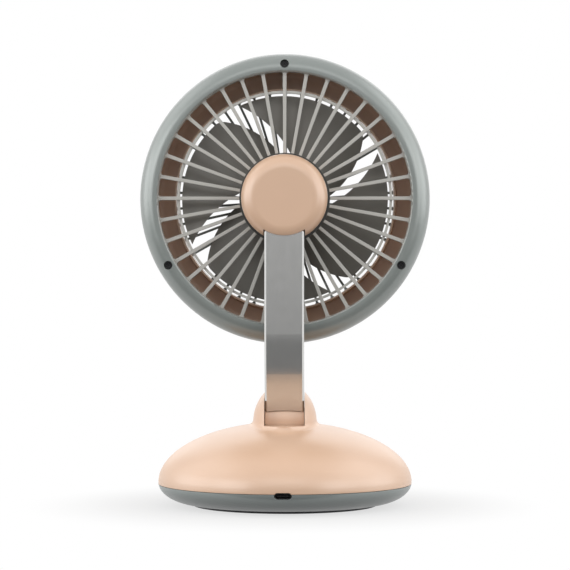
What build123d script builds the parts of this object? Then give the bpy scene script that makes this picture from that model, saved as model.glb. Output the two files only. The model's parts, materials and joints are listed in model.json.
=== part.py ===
from build123d import *
import os
from math import cos, radians, sin, sqrt

# Rechargeable tabletop fan. Millimetres, +Z up, the air leaves towards -Y and the back is +Y.
# The origin is the centre of the foot pad's underside.
os.makedirs("parts", exist_ok=True)

# Fits shared by all pieces
overrun = 1.0  # how far a cut runs past the face that it opens
fit_gap = 0.05  # between pieces that are pressed or screwed together
running_gap = 0.05  # play of a turning or sliding fit
shell_gap = 0.25  # visible line between two shells

# Cross-head screws
screw_head_height = 1.6
cross_length_share = 0.62
cross_width_share = 0.17
cross_depth_share = 0.55

# Base shells
base_radius = 70.5
base_height = 46.0
belly_height = 13.0  # height of the widest section
seam_height = 12.0
base_wall = 2.4
floor_wall = 2.2
foot_height = 1.2
foot_radius = 51.3
foot_edge = 0.4
groove_width = 1.6
groove_depth = 0.5
groove_radius_shares = (0.45, 0.66, 0.87)
belly_round = 20.0  # how far the underside's rounding reaches in from the widest section
lip_wall = 1.2
lip_height = 2.5
lip_gap = 0.2

# Screws that hold the base shells together
base_screw_x = 38.0
base_screw_front_y = -26.0
base_screw_rear_y = 27.0
base_boss_radius = 3.2
base_boss_split = 9.0
base_screw_radius = 1.3
base_screw_head_radius = 2.5
base_screw_length = 12.0
base_screw_sink = 1.4  # how deep the heads lie below the underside

# Hinge on top of the base
hinge_y = 1.8
hinge_height = 46.0
ear_reach = 17.7  # half width over both ears
ear_radius = 21.6  # how far the knuckle rises above the hinge axis
ear_depth = 30.0  # half length of the knuckle from front to back
ear_slot_half = 11.05
ear_blend = 3.5
lip_drop = 0.7  # the slot's rim lies this far below the hinge axis
pocket_gap = 0.6
cradle_wall = 2.2
cradle_end_wall = 4.3
barrel_radius = 15.2
barrel_crown = 0.6  # how much thinner the barrel is at its ends
pin_radius = 3.0
pin_half_length = 15.2
plug_inset = 0.1
plug_edge = 0.3
washer_radius = 8.0
washer_thickness = 0.2

# Arm
arm_half_width = 10.8
arm_thickness = 8.0
arm_offset = 10.0  # from the hinge axis to the arm's rear face
arm_lean = 24.0  # degrees that the lower part leans back
arm_bend_radius = 54.0
arm_edge = 1.0
arm_rear_y = 29.7  # rear face of the upright part
arm_top_above_hub = 12.0
arm_end_gap = 0.7  # line between the arm's end and the barrel
tenon_half_width = 7.5
tenon_start = 9.0  # from the hinge axis, along the arm
tenon_wall = 1.6  # how far the tenon lies inside the arm's faces
tenon_tip = 20.0
barrel_screw_x = 5.2
barrel_screw_radius = 1.2
barrel_screw_head_radius = 2.2
barrel_screw_seat = 4.0  # head seat, below the hinge axis
barrel_screw_length = 24.0
lead_radius = 1.1
lead_hole_radius = 1.5
lead_depth = 4.6  # below the arm's rear face
channel_half_width = 4.2
channel_depth = 2.8  # wall left behind the lead channel
channel_start = 26.0  # from the hinge axis, along the arm
channel_top_below_hub = 12.5
cover_half_width = 7.0
cover_thickness = 1.6
cover_top_below_hub = 24.0
lead_turn_below_hub = 15.5
lead_turn_radius = 5.0

# Head
head_height = 170.3  # centre of the head above the table
head_radius = 80.5
ring_inner_radius = 69.8
ring_wall = 2.0
ring_apex_y = 16.0
ring_shoulder_y = 3.0
ring_edge = 1.0
parting_y = -2.0
spoke_rear_y = 13.0
spoke_depth = 4.0
rear_spokes = 36
rear_spoke_inner_width = 1.7
rear_spoke_outer_width = 2.0
spoke_corner = 1.4
thin_ring_radius = 58.7
thin_ring_width = 1.4
thin_ring_depth = 2.2
plate_radius = 25.0
plate_collar_radius = 21.5
plate_collar_wall = 1.8
plate_collar_height = 4.0
arm_pad_radius = 11.0
lead_port_radius = 2.0

# Hub cap
cap_radius = 23.7
cap_round = 8.0
cap_rear_y = 32.0
cap_wall = 2.0
cap_line = 0.4
cap_notch_half = 11.3
cap_notch_gap = 0.35
cap_notch_top_below_hub = 12.0

# Screws behind the arm's top and in the rear ring
hub_screw_radius = 1.2
hub_screw_head_radius = 2.3
hub_screw_head_sink = 0.4
hub_screw_length = 11.0
hub_screw_upper = 7.5
hub_screw_lower = 4.5
hub_screw_spread = 6.3
head_screw_count = 3
head_screw_circle = 74.1
head_screw_radius = 1.1
head_screw_head_radius = 1.75
head_screw_recess_radius = 2.4
head_screw_seat_y = 9.5
head_screw_length = 17.0
head_boss_radius = 3.6

# Front housing and grille
front_radius = 79.9
front_shoulder_y = -10.0
front_y = -24.0
front_round = 11.0
duct_radius = 61.0
duct_wall = 2.0
duct_rim = 0.8  # the duct's wall thins to this towards the back
duct_rear_y = -5.0
front_lip_wall = 1.6
front_lip_reach = 3.0
rebate_width = 4.0
rebate_depth = 2.4
rebate_floor = 2.0
front_spokes = 42
front_spoke_width = 1.35
front_spoke_corner = 1.0
front_disc_radius = 24.0
grille_thickness = 2.3
grille_bulge = 7.0
front_cap_radius = 21.0
front_cap_thickness = 2.0
front_cap_edge = 0.8

# Impeller, in degrees clockwise from the top as seen from behind
blade_count = 4
blade_tip_radius = 57.3
blade_root_radius = 19.1
blade_middle_radius = 38.3
blade_thickness = 1.5
blade_lead_y = 6.0
blade_drop = 17.0
blade_camber_share = 0.3
blade_corner = 7.0
lead_edge_tip, lead_edge_middle, lead_edge_root = -26.2, -8.8, 19.0
trail_edge_tip, trail_edge_middle, trail_edge_root = 50.0, 69.4, 95.0
blade_sections = 6
section_margin = 4.0  # how far the blade's slab runs past its outline
section_overlap = 8.0  # degrees
hub_radius = 19.9
hub_wall = 1.8
hub_rear_y = 5.0
hub_edge = 1.2

# Motor
shaft_radius = 1.5
shaft_front_y = -11.0
shaft_rear_y = 12.2
tube_inner_radius = 3.0
tube_wall = 1.2
tube_front_y = -8.0
bearing_length = 4.0
bearing_inset = 0.6
rear_bearing_y = 6.0
clip_radius = 2.7
clip_thickness = 0.6
clip_gap = 0.3
stator_radius = 14.0
stator_yoke_radius = 7.2
stator_tip_radius = 12.6
stator_tip_gap = 1.6
stator_front_y = -5.0
stator_length = 9.0
tooth_count = 9
tooth_width = 2.2
coil_width = 4.4
coil_end = 1.2
coil_inner_radius = 7.6
coil_outer_radius = 12.2
magnet_inner_radius = 15.0
cup_inner_radius = 17.0
cup_wall = 1.0
cup_front_y = -10.0
cup_rear_y = 6.0
magnet_front_y = -6.0
magnet_rear_y = 5.4
motor_board_radius = 16.5
motor_board_thickness = 1.2

# Battery
cell_radius = 9.2
cell_length = 65.0
cell_gap = 0.3
tray_wall = 1.2
tray_floor = 1.4
tray_height = 11.0
tray_y = -15.0
contact_thickness = 0.3
contact_width = 7.0

# Main board and charging inlet
port_height = 11.2
port_width = 8.94
port_thickness = 3.16
port_wall = 0.3
port_gap = 0.18
port_length = 8.0
port_mouth_inset = 0.9  # behind the base's widest point
tongue_width = 6.6
tongue_thickness = 0.7
tongue_recess = 0.8
tongue_root = 1.6
board_thickness = 1.6
board_half_width = 18.0
board_front_y = 25.0
board_rear_y = 62.0
board_post_x = 13.0
board_post_front_y = 30.0
board_post_rear_y = 51.0
board_post_radius = 2.6
board_screw_radius = 0.9
board_screw_head_radius = 1.9
board_screw_length = 4.5
inductor_radius = 4.0
inductor_height = 4.2
chip_size = 5.0
chip_height = 1.0
capacitor_radius = 2.8
capacitor_height = 7.0
connector_size = 6.4
connector_height = 5.2
component_y = 40.0
component_spread = 11.0

# Button, its switch and the charge light
button_y = -44.0
button_radius = 6.0
button_gap = 0.3
button_proud = 0.6
button_edge = 0.5
button_travel = 0.6
button_flange = 1.2
button_flange_height = 1.2
collar_wall = 2.3
collar_bottom = 31.8
switch_size = 6.0
switch_height = 3.0
plunger_radius = 1.75
plunger_depth = 1.0
plunger_bottom_gap = 0.4
switch_board_top = 26.6
switch_board_thickness = 1.2
switch_board_half_width = 13.0
switch_board_front_y = -57.0
switch_board_rear_y = -37.0
switch_post_x = 10.2
switch_post_radius = 2.3
switch_screw_radius = 0.8
switch_screw_head_radius = 1.7
switch_screw_length = 5.0
light_y = -54.8
light_radius = 1.1
light_proud = 0.15
led_size = 2.0
led_height = 0.8
led_gap = 0.3

# Planes and axes that several pieces share
table_section = Plane.XZ
hinge_axis = Axis((0, hinge_y, hinge_height), (1, 0, 0))
hinge_section = Plane((0, hinge_y, hinge_height), x_dir=(1, 0, 0), z_dir=(0, -1, 0))
hinge_side = Plane((0, hinge_y, hinge_height), x_dir=(0, 1, 0), z_dir=(1, 0, 0))
head_axis = Axis((0, 0, head_height), (0, 1, 0))
head_section = Plane((0, 0, head_height), x_dir=(0, 0, 1), z_dir=(-1, 0, 0))

# Sizes worked out from the driving dimensions
dome_rise = base_height - belly_height
belly_drop = belly_height - foot_height
belly_flat_radius = base_radius - belly_round
floor_top = foot_height + floor_wall
upper_shell_bottom = seam_height + shell_gap / 2
lower_shell_top = seam_height - shell_gap / 2
pocket_radius = barrel_radius + pocket_gap
slot_rim = hinge_height - lip_drop
ear_face = ear_reach * sqrt(1 - (pin_radius / ear_radius) ** 2)  # where the pin hole leaves the ear
barrel_half = ear_slot_half - washer_thickness - 2 * running_gap
lean_sine = sin(radians(arm_lean))
lean_cosine = cos(radians(arm_lean))
arm_front_y = arm_rear_y - arm_thickness
arm_top = head_height + arm_top_above_hub
plate_front_y = spoke_rear_y - spoke_depth
bearing_tube_radius = tube_inner_radius + tube_wall
cup_radius = cup_inner_radius + cup_wall
board_top = port_height - port_thickness / 2
board_bottom = board_top - board_thickness
port_mouth_y = base_radius - port_mouth_inset
button_hole_radius = button_radius + button_gap
collar_radius = button_hole_radius + collar_wall
flange_radius = button_radius + button_flange
flange_top = collar_bottom - fit_gap
flange_bottom = flange_top - button_flange_height
switch_top = switch_board_top + switch_height
base_screw_places = [
    (side * base_screw_x, y) for side in (-1, 1) for y in (base_screw_front_y, base_screw_rear_y)
]
board_post_places = [
    (side * board_post_x, y) for side in (-1, 1) for y in (board_post_front_y, board_post_rear_y)
]
switch_post_places = [(side * switch_post_x, button_y) for side in (-1, 1)]
hub_screw_places = [
    (0, hub_screw_upper),
    (-hub_screw_spread, -hub_screw_lower),
    (hub_screw_spread, -hub_screw_lower),
]
head_screw_places = [
    (
        head_screw_circle * sin(radians(360 * turn / head_screw_count)),
        head_screw_circle * cos(radians(360 * turn / head_screw_count)),
    )
    for turn in range(head_screw_count)
]


def head_plan(y):
    """The plane across the head at one depth: local x is X, local y is Z, and its normal faces the front."""
    return Plane((0, y, head_height), x_dir=(1, 0, 0), z_dir=(0, -1, 0))


def head_back(y):
    """The plane across the head at one depth whose normal faces the back; local x is -X, local y is Z."""
    return Plane((0, y, head_height), x_dir=(-1, 0, 0), z_dir=(0, 1, 0))


def level(z):
    """The level plane at one height."""
    return Plane.XY.offset(z)


def draw_dome(swell, bottom):
    """Half section of the dome moved out by swell, down to a flat bottom."""
    with BuildLine() as outline:
        EllipticalCenterArc(
            (0, belly_height), base_radius + swell, dome_rise + swell, start_angle=0, arc_size=90
        )
        Polyline(
            (0, base_height + swell),
            (0, bottom),
            (base_radius + swell, bottom),
            (base_radius + swell, belly_height),
        )
    make_face(outline.line)


def draw_belly(inset):
    """Half section of the base's underside moved in by inset, up to the widest height."""
    with BuildLine() as outline:
        EllipticalCenterArc(
            (belly_flat_radius, belly_height),
            belly_round - inset,
            belly_drop - inset,
            start_angle=270,
            arc_size=90,
        )
        Polyline(
            (belly_flat_radius, foot_height + inset),
            (0, foot_height + inset),
            (0, belly_height),
            (base_radius - inset, belly_height),
        )
    make_face(outline.line)


def draw_ears():
    """Half section of the rounded knuckle that the two ears are cut from."""
    with BuildLine() as outline:
        EllipticalCenterArc((0, 0), ear_reach, ear_radius, start_angle=0, arc_size=180)
        Line((-ear_reach, 0), (ear_reach, 0))
    make_face(outline.line)


def draw_barrel(swell):
    """Half section of the crowned hinge barrel moved out by swell."""
    end_radius = barrel_radius - barrel_crown + swell
    with BuildLine() as outline:
        ThreePointArc(
            (-barrel_half, end_radius), (0, barrel_radius + swell), (barrel_half, end_radius)
        )
        Polyline(
            (barrel_half, end_radius), (barrel_half, 0), (-barrel_half, 0), (-barrel_half, end_radius)
        )
    make_face(outline.line)


def arm_point(depth, along):
    """A point (y, z) of the arm's leaning part: depth below its rear face, along from the hinge axis."""
    across = arm_offset - depth
    return (
        hinge_y + across * lean_cosine + along * lean_sine,
        hinge_height - across * lean_sine + along * lean_cosine,
    )


def arm_corner(depth):
    """Where the leaning line at one depth meets the upright line at the same depth."""
    upright_y = arm_rear_y - depth
    along = (upright_y - hinge_y - (arm_offset - depth) * lean_cosine) / lean_sine
    return arm_point(depth, along)


def draw_arm(near, far, start, top):
    """Side outline of the arm between two depths below its rear face, from start up to a height."""
    with BuildLine() as outline:
        FilletPolyline(
            arm_point(near, start),
            arm_corner(near),
            (arm_rear_y - near, top),
            radius=arm_bend_radius - near,
        )
        FilletPolyline(
            arm_point(far, start),
            arm_corner(far),
            (arm_rear_y - far, top),
            radius=arm_bend_radius - far,
        )
        Line((arm_rear_y - near, top), (arm_rear_y - far, top))
        Line(arm_point(near, start), arm_point(far, start))
    make_face(outline.line)


def arm_foot(depth, along):
    """A plane square to the arm's leaning part, with its normal up along the arm."""
    y, z = arm_point(depth, along)
    return Plane((0, y, z), x_dir=(1, 0, 0), z_dir=(0, lean_sine, lean_cosine))


def add_posts(plane, places, radius, length, mode=Mode.ADD):
    """Round posts or holes at several places of a plane, along its normal."""
    with BuildSketch(plane) as rounds:
        with Locations(*places):
            Circle(radius)
    extrude(rounds.sketch, amount=length, mode=mode)


def add_screws(seat, places, head_radius, shank_radius, shank_length):
    """Cross-head screws: the heads stand on the seat plane and the shanks run down from it."""
    add_posts(seat, places, head_radius, screw_head_height)
    add_posts(seat, places, shank_radius, -shank_length)
    bar_length = 2 * head_radius * cross_length_share
    bar_width = 2 * head_radius * cross_width_share
    with BuildSketch(seat.offset(screw_head_height)) as crosses:
        with Locations(*places):
            Rectangle(bar_length, bar_width)
            Rectangle(bar_width, bar_length)
    extrude(crosses.sketch, amount=-screw_head_height * cross_depth_share, mode=Mode.SUBTRACT)


def draw_vent(count, inner_radius, outer_radius, inner_width, outer_width, corner):
    """One gap between two spokes, lying along local x, with its outer corners rounded."""
    half = radians(180 / count)

    def edge(radius, width):
        return (
            radius * cos(half) + width / 2 * sin(half),
            radius * sin(half) - width / 2 * cos(half),
        )

    near_x, near_y = edge(inner_radius, inner_width)
    far_x, far_y = edge(outer_radius, outer_width)
    with BuildLine() as outline:
        ThreePointArc((near_x, -near_y), (sqrt(near_x**2 + near_y**2), 0), (near_x, near_y))
        ThreePointArc((far_x, -far_y), (sqrt(far_x**2 + far_y**2), 0), (far_x, far_y))
        Line((near_x, near_y), (far_x, far_y))
        Line((near_x, -near_y), (far_x, -far_y))
    make_face(outline.line)
    fillet(vertices().group_by(Axis.X)[-1], radius=corner)


def ring_section(inner_radius, outer_radius, low_y, high_y):
    """A square ring section around the head's axis."""
    with BuildLine() as outline:
        Polyline(
            (inner_radius, low_y),
            (outer_radius, low_y),
            (outer_radius, high_y),
            (inner_radius, high_y),
            close=True,
        )
    make_face(outline.line)


def add_ring(inner_radius, outer_radius, low_y, high_y, mode=Mode.ADD):
    """A ring around the head's axis."""
    with BuildSketch(head_section) as section:
        ring_section(inner_radius, outer_radius, low_y, high_y)
    revolve(section.sketch, axis=head_axis, mode=mode)


def polar(radius, angle):
    """A point across the head, from its radius and its degrees clockwise from the top seen from behind."""
    return (-radius * sin(radians(angle)), radius * cos(radians(angle)))


# Base upper shell: the space inside is drawn first, without the bosses that stay in it
with BuildPart() as dome_space:
    with BuildSketch(table_section):
        draw_dome(-base_wall, seam_height - overrun)
    revolve(axis=Axis.Z)
    with BuildSketch(Plane.YZ):
        with Locations((hinge_y, hinge_height)):
            Circle(pocket_radius + cradle_wall)
    extrude(amount=ear_slot_half + cradle_end_wall, both=True, mode=Mode.SUBTRACT)
    add_posts(level(base_boss_split), base_screw_places, base_boss_radius, base_height, Mode.SUBTRACT)
    add_posts(level(collar_bottom), [(0, button_y)], collar_radius, base_height, Mode.SUBTRACT)
    add_posts(level(switch_board_top), switch_post_places, switch_post_radius, base_height, Mode.SUBTRACT)

# The rounded knuckle that the two ears are cut from, drawn at the origin
with BuildPart() as knuckle:
    with BuildSketch(table_section):
        draw_ears()
    revolve(axis=Axis.X)
    scale(by=(1, ear_depth / ear_radius, 1))

with BuildPart() as base_upper_shell:
    with BuildSketch(table_section):
        draw_dome(0, upper_shell_bottom)
    revolve(axis=Axis.Z)
    with Locations((0, hinge_y, hinge_height)):
        add(knuckle.part)
    fillet(edges(Select.NEW), radius=ear_blend)
    add(dome_space.part, mode=Mode.SUBTRACT)
    with BuildSketch(level(slot_rim)):
        Rectangle(2 * ear_slot_half, 2 * base_radius)
    extrude(amount=ear_radius + overrun, mode=Mode.SUBTRACT)
    with BuildSketch(hinge_side):
        Circle(pocket_radius)
    extrude(amount=ear_slot_half, both=True, mode=Mode.SUBTRACT)
    with BuildSketch(hinge_side.offset(-pin_half_length)):
        Circle(pin_radius + fit_gap)
    extrude(amount=pin_half_length + ear_reach + overrun, mode=Mode.SUBTRACT)
    add_posts(
        level(base_boss_split - overrun),
        base_screw_places,
        base_screw_radius + fit_gap,
        base_screw_length,
        Mode.SUBTRACT,
    )
    add_posts(
        level(switch_board_top - overrun),
        switch_post_places,
        switch_screw_radius + fit_gap,
        switch_screw_length,
        Mode.SUBTRACT,
    )
    add_posts(level(seam_height), [(0, button_y)], button_hole_radius, base_height, Mode.SUBTRACT)
    add_posts(level(seam_height), [(0, light_y)], light_radius + fit_gap, base_height, Mode.SUBTRACT)
    with BuildSketch(Plane.XZ):
        with Locations((0, port_height)):
            SlotOverall(port_width + 2 * port_gap, port_thickness + 2 * port_gap)
    extrude(amount=-(base_radius + overrun), mode=Mode.SUBTRACT)
base_upper_shell.part.label = "base_upper_shell"
export_step(base_upper_shell.part, "parts/base_upper_shell.step")

# Base lower shell
with BuildPart() as base_lower_shell:
    with BuildSketch(table_section):
        draw_belly(0)
    revolve(axis=Axis.Z)
    with BuildSketch(table_section):
        draw_belly(floor_wall)
    revolve(axis=Axis.Z, mode=Mode.SUBTRACT)
    with BuildSketch(level(lower_shell_top)):
        Circle(base_radius + overrun)
    extrude(amount=belly_height, mode=Mode.SUBTRACT)
    with BuildSketch(level(seam_height - lip_height)):
        Circle(base_radius - base_wall - lip_gap)
        Circle(base_radius - base_wall - lip_gap - lip_wall, mode=Mode.SUBTRACT)
    extrude(amount=2 * lip_height)
    add_posts(level(foot_height), base_screw_places, base_boss_radius, base_boss_split - foot_height)
    post_bottom = foot_height + floor_wall / 2
    add_posts(level(post_bottom), board_post_places, board_post_radius, board_bottom - post_bottom)
    add_posts(
        level(foot_height - overrun),
        base_screw_places,
        base_screw_head_radius + fit_gap,
        overrun + base_screw_sink + screw_head_height,
        Mode.SUBTRACT,
    )
    add_posts(
        level(foot_height), base_screw_places, base_screw_radius + fit_gap, base_boss_split, Mode.SUBTRACT
    )
    add_posts(
        level(board_top - board_screw_length),
        board_post_places,
        board_screw_radius + fit_gap,
        board_screw_length,
        Mode.SUBTRACT,
    )
    with BuildSketch(Plane.XZ):
        with Locations((0, port_height)):
            SlotOverall(port_width + 2 * port_gap, port_thickness + 2 * port_gap)
    extrude(amount=-(base_radius + overrun), mode=Mode.SUBTRACT)
    with BuildSketch(level(board_bottom)):
        Rectangle(2 * board_half_width + shell_gap, 2 * board_rear_y + shell_gap)
    extrude(amount=board_thickness, mode=Mode.SUBTRACT)
base_lower_shell.part.label = "base_lower_shell"
export_step(base_lower_shell.part, "parts/base_lower_shell.step")

# Foot pad with shallow grooves underneath
with BuildPart() as foot_pad:
    with BuildSketch(level(0)):
        Circle(foot_radius)
    extrude(amount=foot_height)
    fillet(faces().sort_by(Axis.Z)[0].edges(), radius=foot_edge)
    with BuildSketch(level(0)):
        for share in groove_radius_shares:
            Circle(foot_radius * share + groove_width / 2)
            Circle(foot_radius * share - groove_width / 2, mode=Mode.SUBTRACT)
    extrude(amount=groove_depth, mode=Mode.SUBTRACT)
foot_pad.part.label = "foot_pad"
export_step(foot_pad.part, "parts/foot_pad.step")

# Screws from below that pull the two base shells together
with BuildPart() as base_screws:
    seat = Plane(
        (0, 0, foot_height + base_screw_sink + screw_head_height), x_dir=(1, 0, 0), z_dir=(0, 0, -1)
    )
    flipped_places = [(x, -y) for x, y in base_screw_places]
    add_screws(
        seat,
        flipped_places,
        base_screw_head_radius,
        base_screw_radius,
        base_screw_length + base_boss_split - seat.origin.Z - overrun - fit_gap,
    )
base_screws.part.label = "base_screws"
export_step(base_screws.part, "parts/base_screws.step")

# Battery tray, cells and end strips
cell_offset = cell_radius + cell_gap / 2
tray_inside_x = cell_length + 2 * contact_thickness
tray_inside_y = 4 * cell_radius + 3 * cell_gap
cell_height = floor_top + tray_floor + cell_radius
with BuildPart() as battery_tray:
    with BuildSketch(level(floor_top)):
        with Locations((0, tray_y)):
            Rectangle(tray_inside_x + 2 * tray_wall, tray_inside_y + 2 * tray_wall)
    extrude(amount=tray_height)
    with BuildSketch(level(floor_top + tray_floor)):
        with Locations((0, tray_y)):
            Rectangle(tray_inside_x, tray_inside_y)
    extrude(amount=tray_height, mode=Mode.SUBTRACT)
battery_tray.part.label = "battery_tray"
export_step(battery_tray.part, "parts/battery_tray.step")

with BuildPart() as battery_cells:
    with BuildSketch(Plane.YZ):
        with Locations((tray_y - cell_offset, cell_height), (tray_y + cell_offset, cell_height)):
            Circle(cell_radius)
    extrude(amount=cell_length / 2, both=True)
battery_cells.part.label = "battery_cells"
export_step(battery_cells.part, "parts/battery_cells.step")

with BuildPart() as battery_contacts:
    for side in (-1, 1):
        with BuildSketch(Plane.YZ.offset(side * cell_length / 2)):
            with Locations((tray_y, cell_height)):
                Rectangle(2 * cell_offset + contact_width, contact_width)
        extrude(amount=side * contact_thickness)
battery_contacts.part.label = "battery_contacts"
export_step(battery_contacts.part, "parts/battery_contacts.step")

# Main board with its parts, screws and the charging inlet
with BuildPart() as main_board:
    with BuildSketch(level(board_bottom)):
        with Locations((0, (board_front_y + board_rear_y) / 2)):
            Rectangle(2 * board_half_width, board_rear_y - board_front_y)
    extrude(amount=board_thickness)
    add_posts(
        level(board_bottom - overrun),
        board_post_places,
        board_screw_radius + fit_gap,
        board_thickness + 2 * overrun,
        Mode.SUBTRACT,
    )
main_board.part.label = "main_board"
export_step(main_board.part, "parts/main_board.step")

with BuildPart() as board_components:
    add_posts(level(board_top), [(-component_spread, component_y)], inductor_radius, inductor_height)
    add_posts(level(board_top), [(component_spread, component_y)], capacitor_radius, capacitor_height)
    with BuildSketch(level(board_top)):
        with Locations((0, component_y)):
            Rectangle(chip_size, chip_size)
    extrude(amount=chip_height)
    with BuildSketch(level(board_top)):
        with Locations((0, board_post_front_y)):
            Rectangle(connector_size, connector_size)
    extrude(amount=connector_height)
board_components.part.label = "board_components"
export_step(board_components.part, "parts/board_components.step")

with BuildPart() as board_screws:
    add_screws(
        level(board_top), board_post_places, board_screw_head_radius, board_screw_radius, board_screw_length
    )
board_screws.part.label = "board_screws"
export_step(board_screws.part, "parts/board_screws.step")

port_mouth = Plane((0, port_mouth_y, port_height), x_dir=(-1, 0, 0), z_dir=(0, 1, 0))
port_inside_width = port_width - 2 * port_wall
port_inside_thickness = port_thickness - 2 * port_wall
with BuildPart() as usb_socket:
    with BuildSketch(port_mouth):
        SlotOverall(port_width, port_thickness)
    extrude(amount=-port_length)
    with BuildSketch(port_mouth):
        SlotOverall(port_inside_width, port_inside_thickness)
    extrude(amount=-(port_length - tongue_root), mode=Mode.SUBTRACT)
usb_socket.part.label = "usb_socket"
export_step(usb_socket.part, "parts/usb_socket.step")

with BuildPart() as usb_tongue:
    with BuildSketch(port_mouth.offset(-tongue_recess)):
        Rectangle(tongue_width, tongue_thickness)
    extrude(amount=-(port_length - tongue_root - tongue_recess))
usb_tongue.part.label = "usb_tongue"
export_step(usb_tongue.part, "parts/usb_tongue.step")

# Switch board, push switch, charge light
with BuildPart() as switch_board:
    with BuildSketch(level(switch_board_top - switch_board_thickness)):
        with Locations((0, (switch_board_front_y + switch_board_rear_y) / 2)):
            Rectangle(2 * switch_board_half_width, switch_board_rear_y - switch_board_front_y)
    extrude(amount=switch_board_thickness)
    add_posts(
        level(switch_board_top - switch_board_thickness - overrun),
        switch_post_places,
        switch_screw_radius + fit_gap,
        switch_board_thickness + 2 * overrun,
        Mode.SUBTRACT,
    )
switch_board.part.label = "switch_board"
export_step(switch_board.part, "parts/switch_board.step")

with BuildPart() as switch_board_screws:
    seat = Plane(
        (0, 0, switch_board_top - switch_board_thickness), x_dir=(1, 0, 0), z_dir=(0, 0, -1)
    )
    flipped_places = [(x, -y) for x, y in switch_post_places]
    add_screws(
        seat,
        flipped_places,
        switch_screw_head_radius,
        switch_screw_radius,
        switch_board_thickness + switch_screw_length - overrun - fit_gap,
    )
switch_board_screws.part.label = "switch_board_screws"
export_step(switch_board_screws.part, "parts/switch_board_screws.step")

plunger_bottom = switch_top - plunger_depth
with BuildPart() as tact_switch:
    with BuildSketch(level(switch_board_top)):
        with Locations((0, button_y)):
            Rectangle(switch_size, switch_size)
    extrude(amount=switch_height)
    add_posts(
        level(plunger_bottom - button_travel - plunger_bottom_gap),
        [(0, button_y)],
        plunger_radius + running_gap,
        switch_height,
        Mode.SUBTRACT,
    )
tact_switch.part.label = "tact_switch"
export_step(tact_switch.part, "parts/tact_switch.step")

with BuildPart() as switch_plunger:
    add_posts(level(plunger_bottom), [(0, button_y)], plunger_radius, flange_bottom - plunger_bottom)
switch_plunger.part.label = "switch_plunger"
export_step(switch_plunger.part, "parts/switch_plunger.step")

with BuildPart() as power_button:
    add_posts(level(flange_bottom), [(0, button_y)], flange_radius, button_flange_height)
    add_posts(level(flange_bottom), [(0, button_y)], button_radius, base_height - flange_bottom)
    with BuildSketch(table_section):
        draw_dome(button_proud, 0)
    revolve(axis=Axis.Z, mode=Mode.INTERSECT)
    fillet(edges().group_by(Axis.Z)[-1], radius=button_edge)
power_button.part.label = "power_button"
export_step(power_button.part, "parts/power_button.step")

with BuildPart() as status_led:
    with BuildSketch(level(switch_board_top)):
        with Locations((0, light_y)):
            Rectangle(led_size, led_size)
    extrude(amount=led_height)
status_led.part.label = "status_led"
export_step(status_led.part, "parts/status_led.step")

with BuildPart() as light_pipe:
    add_posts(level(switch_board_top + led_height + led_gap), [(0, light_y)], light_radius, base_height)
    with BuildSketch(table_section):
        draw_dome(light_proud, 0)
    revolve(axis=Axis.Z, mode=Mode.INTERSECT)
light_pipe.part.label = "light_pipe"
export_step(light_pipe.part, "parts/light_pipe.step")

# Hinge: pin, plug, friction washers and barrel
with BuildPart() as hinge_pin:
    with BuildSketch(hinge_side):
        Circle(pin_radius)
    extrude(amount=pin_half_length, both=True)
hinge_pin.part.label = "hinge_pin"
export_step(hinge_pin.part, "parts/hinge_pin.step")

with BuildPart() as hinge_plug:
    with BuildSketch(hinge_side.offset(pin_half_length)):
        Circle(pin_radius)
    extrude(amount=ear_face - plug_inset - pin_half_length)
    fillet(faces().sort_by(Axis.X)[-1].edges(), radius=plug_edge)
hinge_plug.part.label = "hinge_plug"
export_step(hinge_plug.part, "parts/hinge_plug.step")

with BuildPart() as hinge_washers:
    for side in (-1, 1):
        with BuildSketch(hinge_side.offset(side * (ear_slot_half - washer_thickness))):
            Circle(washer_radius)
            Circle(pin_radius + running_gap, mode=Mode.SUBTRACT)
        extrude(amount=side * washer_thickness)
hinge_washers.part.label = "hinge_washers"
export_step(hinge_washers.part, "parts/hinge_washers.step")

# The arm stands in the barrel with a tenon, held by two screws from the barrel's underside
tenon_depth = arm_thickness / 2
tenon_thickness = arm_thickness - 2 * tenon_wall
barrel_screw_places = [(side * barrel_screw_x, 0) for side in (-1, 1)]
with BuildPart() as hinge_barrel:
    with BuildSketch(hinge_section):
        draw_barrel(0)
    revolve(axis=hinge_axis)
    with BuildSketch(hinge_side):
        Circle(pin_radius + running_gap)
    extrude(amount=ear_slot_half, both=True, mode=Mode.SUBTRACT)
    with BuildSketch(arm_foot(tenon_depth, tenon_start)):
        Rectangle(2 * tenon_half_width + 2 * fit_gap, tenon_thickness + 2 * fit_gap)
    extrude(amount=barrel_radius, mode=Mode.SUBTRACT)
    add_posts(
        arm_foot(tenon_depth, -barrel_radius),
        barrel_screw_places,
        barrel_screw_head_radius + fit_gap,
        barrel_radius - barrel_screw_seat,
        Mode.SUBTRACT,
    )
    add_posts(
        arm_foot(tenon_depth, -barrel_radius),
        barrel_screw_places,
        barrel_screw_radius + fit_gap,
        2 * barrel_radius,
        Mode.SUBTRACT,
    )
    add_posts(
        arm_foot(lead_depth, -barrel_radius), [(0, 0)], lead_hole_radius, 2 * barrel_radius, Mode.SUBTRACT
    )
hinge_barrel.part.label = "hinge_barrel"
export_step(hinge_barrel.part, "parts/hinge_barrel.step")

with BuildPart() as barrel_screws:
    y, z = arm_point(tenon_depth, -barrel_screw_seat)
    seat = Plane((0, y, z), x_dir=(1, 0, 0), z_dir=(0, -lean_sine, -lean_cosine))
    add_screws(
        seat, barrel_screw_places, barrel_screw_head_radius, barrel_screw_radius, barrel_screw_length
    )
barrel_screws.part.label = "barrel_screws"
export_step(barrel_screws.part, "parts/barrel_screws.step")

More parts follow.
